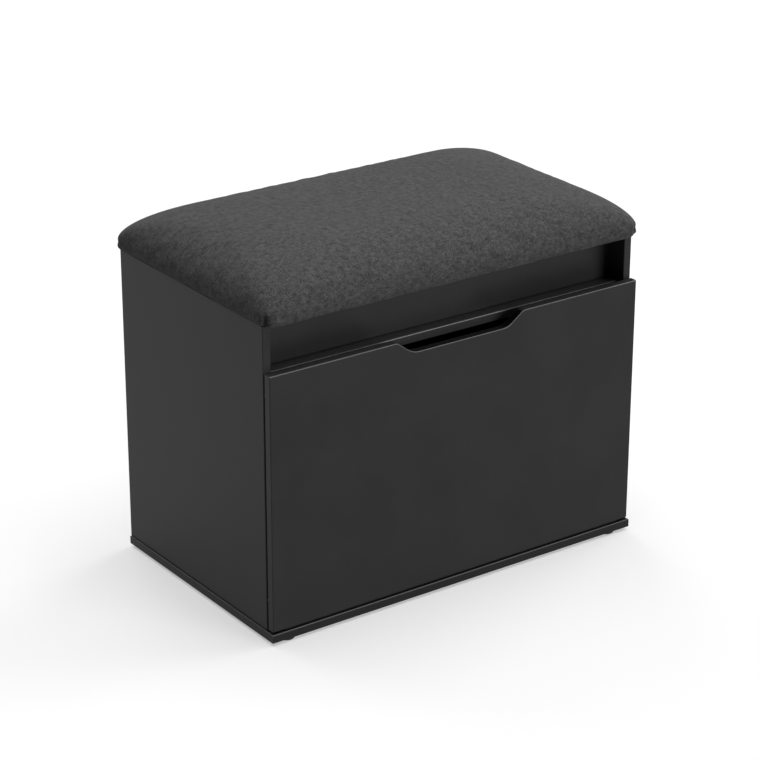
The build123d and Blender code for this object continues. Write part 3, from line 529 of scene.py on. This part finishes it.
def patch(ring, columns, rows):
    """A grid of points inside a ring whose points it shares, smoothed until its spacing is even."""
    grid = np.zeros((rows + 1, columns + 1, 2))
    lay_border(grid, ring)
    s = np.linspace(0, 1, columns + 1)[None, :, None]
    t = np.linspace(0, 1, rows + 1)[:, None, None]
    sides = (1 - t) * grid[:1] + t * grid[-1:] + (1 - s) * grid[:, :1] + s * grid[:, -1:]
    corners = ((1 - s) * (1 - t) * grid[0, 0] + s * (1 - t) * grid[0, -1] + (1 - s) * t * grid[-1, 0]
               + s * t * grid[-1, -1])
    grid[1:-1, 1:-1] = (sides - corners)[1:-1, 1:-1]
    for _ in range(SMOOTHINGS):
        grid[1:-1, 1:-1] = (grid[:-2, 1:-1] + grid[2:, 1:-1] + grid[1:-1, :-2] + grid[1:-1, 2:]) / 4
    return grid


def seat_skin(half_w, half_d):
    """Points and faces of the cover: turned in below, over the wall and the domed top."""
    rings = [(inset, 0.0, 0.0) for inset in UNDER_RINGS]
    rings += [(inset, z, 0.0) for inset, z in EDGE_RINGS]
    for inset in DOME_RINGS:
        # The dome's first ring lies a hair above the top of the wall
        hair = 0.0 if inset else 0.001
        rings.append((inset, WALL_TOP + float(dome(inset)) + hair, min(1.0, inset / EVEN_INSET)))
    points, faces = [], []
    for inset, z, even in rings:
        flat = outline(half_w, half_d, inset, even)
        points.append(np.column_stack([flat, np.full(len(flat), z)]))
    count = len(points[0])
    for ring in range(len(rings) - 1):
        a = ring * count + np.arange(count)
        b = ring * count + (np.arange(count) + 1) % count
        faces.append(np.stack([a, b, b + count, a + count], 1))
    columns, rows = 2 * SEGMENTS_X, 2 * SEGMENTS_Y
    inner = patch(points[-1][:, :2], columns, rows)[1:-1, 1:-1].reshape(-1, 2)
    number = np.full((rows + 1, columns + 1), -1)
    lay_border(number, (len(rings) - 1) * count + np.arange(count))
    number[1:-1, 1:-1] = len(rings) * count + np.arange(len(inner)).reshape(rows - 1, columns - 1)
    points.append(np.column_stack([inner, WALL_TOP + dome(depth_inside(inner, half_w, half_d))]))
    faces.append(grid_faces(number))
    return np.concatenate(points), np.concatenate(faces)


def grid_faces(number):
    """Quads over a grid of point numbers."""
    corners = (number[:-1, :-1], number[:-1, 1:], number[1:, 1:], number[1:, :-1])
    return np.stack(corners, -1).reshape(-1, 4)


def mesh_object(name, points, faces, body):
    mesh = bpy.data.meshes.new(name)
    mesh.from_pydata([tuple(p) for p in points], [], [tuple(int(i) for i in f) for f in faces])
    mesh.validate()
    mesh.shade_smooth()
    made = bpy.data.objects.new(name, mesh)
    scene.collection.objects.link(made)
    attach(made, body)
    return made


def read(mesh, what="co"):
    """The places of a mesh's points, or their normals."""
    values = np.empty(len(mesh.vertices) * 3)
    mesh.vertices.foreach_get(what, values)
    return values.reshape(-1, 3)


def write(mesh, points):
    mesh.vertices.foreach_set("co", points.astype(np.float32).ravel())
    mesh.update()


def evaluated(made):
    return made.evaluated_get(bpy.context.evaluated_depsgraph_get())


def swell(made, form, held):
    """Cloth simulation: the cover swells under a light pressure and settles near its form, within the cap."""
    group = made.vertex_groups.new(name="held")
    for index in np.nonzero(held > 0)[0]:
        group.add([int(index)], float(held[index]), "REPLACE")
    cloth = made.modifiers.new("cover", "CLOTH")
    cloth.settings.vertex_group_mass = "held"
    cloth.settings.quality = 6
    cloth.settings.mass = 0.25
    cloth.settings.tension_stiffness = 20
    cloth.settings.compression_stiffness = 20
    cloth.settings.shear_stiffness = 8
    cloth.settings.bending_stiffness = 0.8
    cloth.settings.use_pressure = True
    cloth.settings.uniform_pressure_force = PRESSURE
    cloth.settings.shrink_min = -0.012
    cloth.settings.effector_weights.gravity = 0.0
    cloth.collision_settings.use_collision = False
    cloth.point_cache.frame_start = 1
    cloth.point_cache.frame_end = FRAMES
    for step in range(1, FRAMES + 1):
        scene.frame_set(step)
    move = read(evaluated(made).data) - form
    made.modifiers.remove(cloth)
    made.vertex_groups.remove(group)
    scene.frame_set(1)
    # The mean swelling is taken off, so that only the cover's own unevenness stays
    normals = read(made.data, "normal")
    swelling = (move * normals).sum(1)[held < 0.9].mean()
    move -= normals * (swelling * (1 - held))[:, None]
    far = np.linalg.norm(move, axis=1, keepdims=True)
    cap = SWELL_CAP * MM
    move *= cap * np.tanh(far / cap) / np.maximum(far, 1e-9)
    write(made.data, form + move)


def build_seat():
    """The padded seat: cover and foam as one cushion, turned in under the board."""
    low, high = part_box("seat_cover")
    centre = (low + high) / 2
    half_w, half_d = (high.x - low.x) / 2 / MM, (high.y - low.y) / 2 / MM
    base = np.array([centre.x, centre.y, low.z])
    points, faces = seat_skin(half_w, half_d)
    # The cover starts too small everywhere above its lower edge
    start = points.copy()
    shrink = SHRINK * np.clip((points[:, 2] - SHRINK_FROM) / SHRINK_FADE, 0, 1)
    for axis, half in enumerate((half_w, half_d)):
        share = np.clip(np.abs(points[:, axis]) / half, 0, 1)
        start[:, axis] -= np.sign(points[:, axis]) * shrink * share ** SHRINK_POWER
    start[:, 2] -= shrink
    seat = mesh_object("seat_cushion", start * MM + base, faces, "seat")
    tacked = 1 - np.clip((points[:, 2] - TACKED_BELOW) / TACKED_FADE, 0, 1)
    on_foam = FOAM_HOLD * np.clip((points[:, 2] - WALL_TOP) / DOME, FOAM_HOLD_LEAST, 1)
    swell(seat, points * MM + base, np.maximum(tacked, on_foam))
    smooth = seat.modifiers.new("smooth", "SUBSURF")
    smooth.levels = smooth.render_levels = 1
    smooth.boundary_smooth = "PRESERVE_CORNERS"
    fine = bpy.data.meshes.new_from_object(evaluated(seat))
    seat.modifiers.remove(smooth)
    seat.data = fine
    shape_cover(seat, base, half_w, half_d)
    close_under(seat, base, half_w, half_d)
    lay_weave(seat, base, half_w, half_d)
    seat.data.materials.clear()
    seat.data.materials.append(woven())
    seat.data.shade_smooth()
    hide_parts("seat_cover", "seat_foam")


def shape_cover(seat, base, half_w, half_d):
    """Corner pleats, the pull of the staples along the lower edge, and folds in the turned-in fabric."""
    p = (read(seat.data) - base) / MM
    side = np.sign(p[:, :2])
    slot = pleat_corners(p, side, half_w, half_d)
    # Staples pull the lower edge in a little, more between the corners than at them
    skirt = np.clip(1 - np.abs(p[:, 2] - PULL_Z) / PULL_REACH, 0, 1) ** PULL_POWER
    long_side = np.abs(p[:, 1]) / half_d > np.abs(p[:, 0]) / half_w
    along = np.where(long_side, p[:, 0], p[:, 1])
    span = np.where(long_side, half_w, half_d)
    none = 0 * along
    normal = np.where(long_side[:, None], np.column_stack([none, side[:, 1]]),
                      np.column_stack([side[:, 0], none]))
    at_staple = 0.5 + 0.5 * np.cos(along / STAPLE_STEP * math.tau)
    pull = PULL_AT_STAPLE * at_staple + PULL_UNEVEN * np.sin(along * 0.043 + p[:, 0] * 0.011)
    between = np.clip((span - PULL_FROM_CORNER - np.abs(along)) / PULL_CORNER_FADE, 0, 1)
    past_side = np.where(long_side, np.abs(p[:, 1]) - half_d, np.abs(p[:, 0]) - half_w)
    edge = np.clip((past_side + PULL_IN) / PULL_IN_FADE, 0, 1)
    p[:, :2] -= normal * (skirt * between * edge * (PULL + pull))[:, None]
    # The turned-in fabric: a furrow at the staples, and folds that fan out from the corners
    inset = np.minimum(half_w - np.abs(p[:, 0]), half_d - np.abs(p[:, 1]))
    depth = FURROW + FURROW_AT_STAPLE * np.cos(along / STAPLE_STEP * math.tau) ** 8
    furrow = np.exp(-((inset - STAPLE_IN) / FURROW_HALF) ** 2) * depth
    from_corner = np.hypot(*(np.abs(p[:, :2]) - (half_w - FAN_IN, half_d - FAN_IN)).T)
    fan = np.clip(1 - from_corner / FAN_REACH, 0, 1)
    turn = np.arctan2(half_d - np.abs(p[:, 1]) + 6.0, half_w - np.abs(p[:, 0]) + 6.0)
    folds = fan * (0.5 + 0.5 * np.sin(turn * FAN_FOLDS)) * FAN_HEIGHT
    turned_in = (p[:, 2] < 0.3) & (inset > 8.0)
    p[:, 2] += np.where(turned_in, furrow + folds, 0)
    write(seat.data, p * MM + base)
    # Painted shade: how deep in a pleat's slot each point is, kept to darken the cloth's colour there
    dark = seat.data.attributes.new("pleat_shade", "FLOAT", "POINT")
    dark.data.foreach_set("value", np.clip(slot * 1.1, 0, 1).astype(np.float32))


def pleat_corners(p, side, half_w, half_d):
    """Moves the points of the corners' pleats in place, and says how deep in a pleat's slot each point is."""
    local = np.abs(p[:, :2]) - (half_w - CORNER_R, half_d - CORNER_R)
    at_corner = local.min(1) > 0
    reach = np.hypot(*np.maximum(local, 0.01).T)
    angle = np.arctan2(np.maximum(local[:, 1], 0.0), np.maximum(local[:, 0], 0.01))
    away = np.where(at_corner, (angle - math.pi / 4) * np.maximum(reach, 1.0), 99.0)
    away = np.where(side[:, 0] * side[:, 1] > 0, away, -away) + PLEAT_SHIFT
    outward = np.where(at_corner[:, None], side * np.maximum(local, 0) / np.maximum(reach, 0.01)[:, None], 0)
    height = np.clip(1 - p[:, 2] / PLEAT_H, 0, 1)
    wall = np.clip(reach / 6.0 - 1.0, 0, 1)
    narrow = PLEAT_W * (0.6 + 0.4 * height)
    slot = np.exp(-(away / narrow) ** 4) * height ** 0.45 * wall
    lip = np.exp(-((away - LIP_AWAY * narrow) / (LIP_W * narrow)) ** 2) * height * wall
    p[:, :2] += outward * (lip * LIP - slot * PLEAT_DEPTH)[:, None]
    return slot


def close_under(seat, base, half_w, half_d):
    """Closes the cushion over its board, with a hollow of the board's own shape."""
    board_low, board_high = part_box("lid_board")
    board_in = half_w - board_high.x / MM
    under, over = (board_low.z - base[2]) / MM, (board_high.z - base[2]) / MM
    mesh = seat.data
    points = read(mesh)
    faces = [tuple(f.vertices) for f in mesh.polygons]
    sides = {pair for f in faces for pair in zip(f, f[1:] + f[:1])}
    rim = {b: a for a, b in sides if (b, a) not in sides}
    first = min(rim)
    ring = [first]
    while rim[ring[-1]] != first:
        ring.append(rim[ring[-1]])
    edge = (points[ring] - base) / MM
    sizes = np.array([half_w, half_d])

    def level(inset, z):
        """The rim drawn in to another inset and height, with that inset's corners."""
        flat = edge[:, :2] * ((sizes - inset) / (sizes - RETURN_IN))
        r = float(corner_radius(inset, half_d))
        q = np.abs(flat) - (sizes - inset - r)
        length = np.hypot(*np.maximum(q, 0.001).T)
        snapped = (sizes - inset - r) + q * (r / length)[:, None]
        flat = np.where((q.min(1) > 0)[:, None], np.sign(flat) * snapped, flat)
        return np.column_stack([flat, np.full(len(flat), z)]) * MM + base

    rows = [ring]
    for inset, z in ((RETURN_IN - RETURN_END, under - PLAY), (board_in, under - PLAY),
                     (board_in - 2 * PLAY, under), (board_in - 2 * PLAY, over + PLAY)):
        rows.append(list(range(len(points), len(points) + len(ring))))
        points = np.concatenate([points, level(inset, z)])
    for low_row, high_row in zip(rows, rows[1:]):
        for i in range(len(ring)):
            j = (i + 1) % len(ring)
            faces.append((low_row[i], low_row[j], high_row[j], high_row[i]))
    faces.append(tuple(rows[-1]))
    # The painted pleat shade carries over to the closed cushion
    dark = np.zeros(len(points), np.float32)
    known = np.zeros(len(mesh.vertices), np.float32)
    mesh.attributes["pleat_shade"].data.foreach_get("value", known)
    dark[:len(known)] = known
    closed = bpy.data.meshes.new("seat_cushion")
    closed.from_pydata([tuple(x) for x in points], [], faces)
    closed.validate()
    kept = closed.attributes.new("pleat_shade", "FLOAT", "POINT")
    kept.data.foreach_set("value", dark)
    seat.data = closed


def lay_weave(seat, base, half_w, half_d):
    """The cloth's flat coordinates at each corner of each face, so that threads run straight over an edge."""
    mesh = seat.data
    p = (read(mesh) - base) / MM
    # How much longer the way over the dome and the wall is than the flat way in from the outline
    steps = np.linspace(0.0, DOME_REACH * LAID_REACH, LAID_STEPS)
    rise = dome(steps)
    travel = np.concatenate([[0], np.cumsum(np.hypot(np.diff(steps), np.diff(rise)))])
    extra_top = travel[-1] - travel - (steps[-1] - steps)
    extra = np.interp(p[:, 2], WALL_TOP + rise, extra_top)
    extra = np.where(p[:, 2] < WALL_TOP, extra_top[0] + WALL_TOP - p[:, 2], extra)
    loops = np.empty(len(mesh.loops), int)
    mesh.loops.foreach_get("vertex_index", loops)
    totals = np.array([f.loop_total for f in mesh.polygons])
    owner = np.repeat(np.arange(len(totals)), totals)
    centre = np.zeros((len(totals), 3))
    np.add.at(centre, owner, p[loops])
    centre /= totals[:, None]
    # Each face belongs to the side it is nearest to, and its cloth is laid out past that side
    gap = np.stack([half_w - np.abs(centre[:, 0]), half_d - np.abs(centre[:, 1])], 1)
    to_side = gap[:, 0] < gap[:, 1]
    none = 0 * gap[:, 0]
    outward = np.where(to_side[:, None], np.stack([np.sign(centre[:, 0]), none], 1),
                       np.stack([none, np.sign(centre[:, 1])], 1))
    flat = (p[loops, :2] + outward[owner] * extra[loops][:, None]) * MM
    layer = mesh.uv_layers.new(name="cloth")
    layer.data.foreach_set("uv", flat.astype(np.float32).ravel())


def build_dust_sheet():
    """The thin cloth under the seat: drawn flat at its edges and sagging a little between them."""
    low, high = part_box("dust_cover")
    reach = SHEET_REACH * MM
    x = np.linspace(low.x - reach, high.x + reach, SHEET_COLUMNS + 1)
    y = np.linspace(low.y - reach, high.y + reach, SHEET_ROWS + 1)
    gx, gy = np.meshgrid(x, y)
    edge = np.minimum(np.minimum(gx - x[0], x[-1] - gx), np.minimum(gy - y[0], y[-1] - gy)) / MM
    sag = SAG * (1 - np.exp(-edge / SAG_REACH))
    ripples = np.sin(gx / MM * 0.21) + np.sin(gy / MM * 0.19 + 1.0)
    pucker = PUCKER * np.exp(-edge / PUCKER_REACH) * (1 - np.exp(-edge / PUCKER_START)) * ripples
    wave = WAVE * np.sin(gx / MM * 0.031 + gy / MM * 0.022) * (1 - np.exp(-edge / WAVE_REACH))
    z = high.z - SHEET_DROP * MM - (sag + np.abs(pucker) * 0.5 + wave * 0.8) * MM
    # The sheet doesn't sag onto the niche's board, which stands under it
    board_low, board_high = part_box("storage_front_board")
    over_board = np.abs(gy - (board_low.y + board_high.y) / 2) < CLEAR_OF_BOARD * MM
    z = np.where(over_board, np.maximum(z, low.z), z)
    points = np.stack([gx, gy, z], -1).reshape(-1, 3)
    number = np.arange((SHEET_ROWS + 1) * (SHEET_COLUMNS + 1)).reshape(SHEET_ROWS + 1, SHEET_COLUMNS + 1)
    # Its faces look down
    sheet = mesh_object("dust_sheet", points, grid_faces(number)[:, (0, 3, 2, 1)], "seat")
    sheet.data.materials.append(spunbond())
    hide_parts("dust_cover")


# ---- finishes on the CAD nodes

BOARDS = ("base_board", "left_side_panel", "right_side_panel", "storage_floor", "storage_front_board",
          "rear_rail", "flap_front", "bin_left_side", "bin_right_side", "bin_floor", "bin_shelf", "bin_back")
# Painted shade and light in the greys: base_board is darker, for the shade low by the floor, and
# storage_floor lighter, for light on the ledge under the seat
BOARD_FINISH = {
    "base_board": {"base": 0.0070, "painted_glint": 4.5},
    "storage_floor": {"base": 0.0150, "painted_glint": 8.0, "dust_and_painted_light": 1.1},
    "storage_front_board": {"painted_glint": 0.0, "gap_shade": 0.95},
    "flap_front": {"base": 0.0110, "painted_glint": 4.5},
    "left_side_panel": {"base": 0.0105},
    "right_side_panel": {"base": 0.0105},
}
ZINC_PIECES = ("foot_screws", "base_screws", "cabinet_cams", "cabinet_cam_bolts", "back_panel_nails",
               "stop_block_screws", "bin_cams", "bin_cam_bolts", "bin_screws", "cover_staples")
BLACK_PIECES = ("flap_hinge_base_leaf", "flap_hinge_flap_leaf", "flap_hinge_rod", "flap_hinge_base_screws",
                "flap_hinge_flap_screws")
NICKEL_PIECES = ("left_hinge_back_leaf", "right_hinge_back_leaf", "left_hinge_seat_leaf",
                 "right_hinge_seat_leaf", "left_hinge_pin", "right_hinge_pin", "back_leaf_screws",
                 "seat_leaf_screws")


def dress(nodes, finish):
    for name in nodes:
        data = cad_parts[name].data
        data.materials.clear()
        data.materials.append(finish)


def dress_all():
    for name in BOARDS:
        dress([name], board(name, **BOARD_FINISH.get(name, {})))
    dress(["back_panel"], hardboard())
    dress(["lid_board"], raw_board())
    dress(["cabinet_dowels", "bin_dowels"], beech())
    dress(["foot_glides", "left_stop_block", "right_stop_block"], plastic())
    dress(["flap_bumpers"], rubber())
    dress(ZINC_PIECES, metal("zinc_steel", (0.56, 0.56, 0.55, 1.0), 0.38, spangle=0.1))
    dress(BLACK_PIECES, metal("black_steel", (0.006, 0.006, 0.0062, 1.0), 0.55, brush=(0.2, 1.0, 1.0),
                              spangle=0.12, film=0.6))
    dress(NICKEL_PIECES, metal("nickel_steel", (0.6, 0.58, 0.54, 1.0), 0.3, brush=(0.15, 1.0, 1.0)))


# ---- stage, light and camera

def build_stage():
    half = FLOOR_HALF
    mesh = bpy.data.meshes.new("floor")
    corners = [(-half, -half, 0), (half, -half, 0), (half, half, 0), (-half, half, 0)]
    mesh.from_pydata(corners, [], [(0, 1, 2, 3)])
    floor = bpy.data.objects.new("floor", mesh)
    scene.collection.objects.link(floor)
    made, g = material("floor")
    tone = g.vary(g.noise(g.place, 3.0), 0.995, 1.0)
    g.finish(Base_Color=g.tone(grey(FLOOR_GREY), tone), Roughness=0.9, Specular_IOR_Level=0.1,
             Emission_Color=grey(1.0), Emission_Strength=FLOOR_GLOW)
    mesh.materials.append(made)


def build_lights():
    world = bpy.data.worlds.new("studio")
    world.use_nodes = True
    background = world.node_tree.nodes["Background"]
    background.inputs["Color"].default_value = grey(1.0)
    background.inputs["Strength"].default_value = WORLD_STRENGTH
    scene.world = world
    for name, (strength, spot, width) in SUNS.items():
        data = bpy.data.lights.new(name, "SUN")
        data.energy = strength
        data.angle = math.radians(width)
        sun = bpy.data.objects.new(name, data)
        sun.location = spot
        to_middle = Vector((0.0, 0.0, 0.0)) - Vector(spot)
        sun.rotation_euler = to_middle.to_track_quat("-Z", "Y").to_euler()
        scene.collection.objects.link(sun)
    scene.view_settings.view_transform = "Standard"


def build_camera():
    a, e, roll = (math.radians(x) for x in (YAW, PITCH, ROLL))
    back = Vector((math.sin(a) * math.cos(e), -math.cos(a) * math.cos(e), math.sin(e)))
    right = Vector((math.cos(a), math.sin(a), 0))
    up = back.cross(right)
    across = math.cos(roll) * right + math.sin(roll) * up
    upward = math.cos(roll) * up - math.sin(roll) * right
    data = bpy.data.cameras.new("camera")
    data.lens = LENS
    data.sensor_width = SENSOR
    data.clip_end = CLIP_END
    camera = bpy.data.objects.new("camera", data)
    turn = Matrix((across, upward, back)).transposed().to_4x4()
    camera.matrix_world = Matrix.Translation(EYE) @ turn
    scene.collection.objects.link(camera)
    scene.camera = camera


build_camera()
build_lights()
build_stage()
dress_all()
build_seat()
build_dust_sheet()
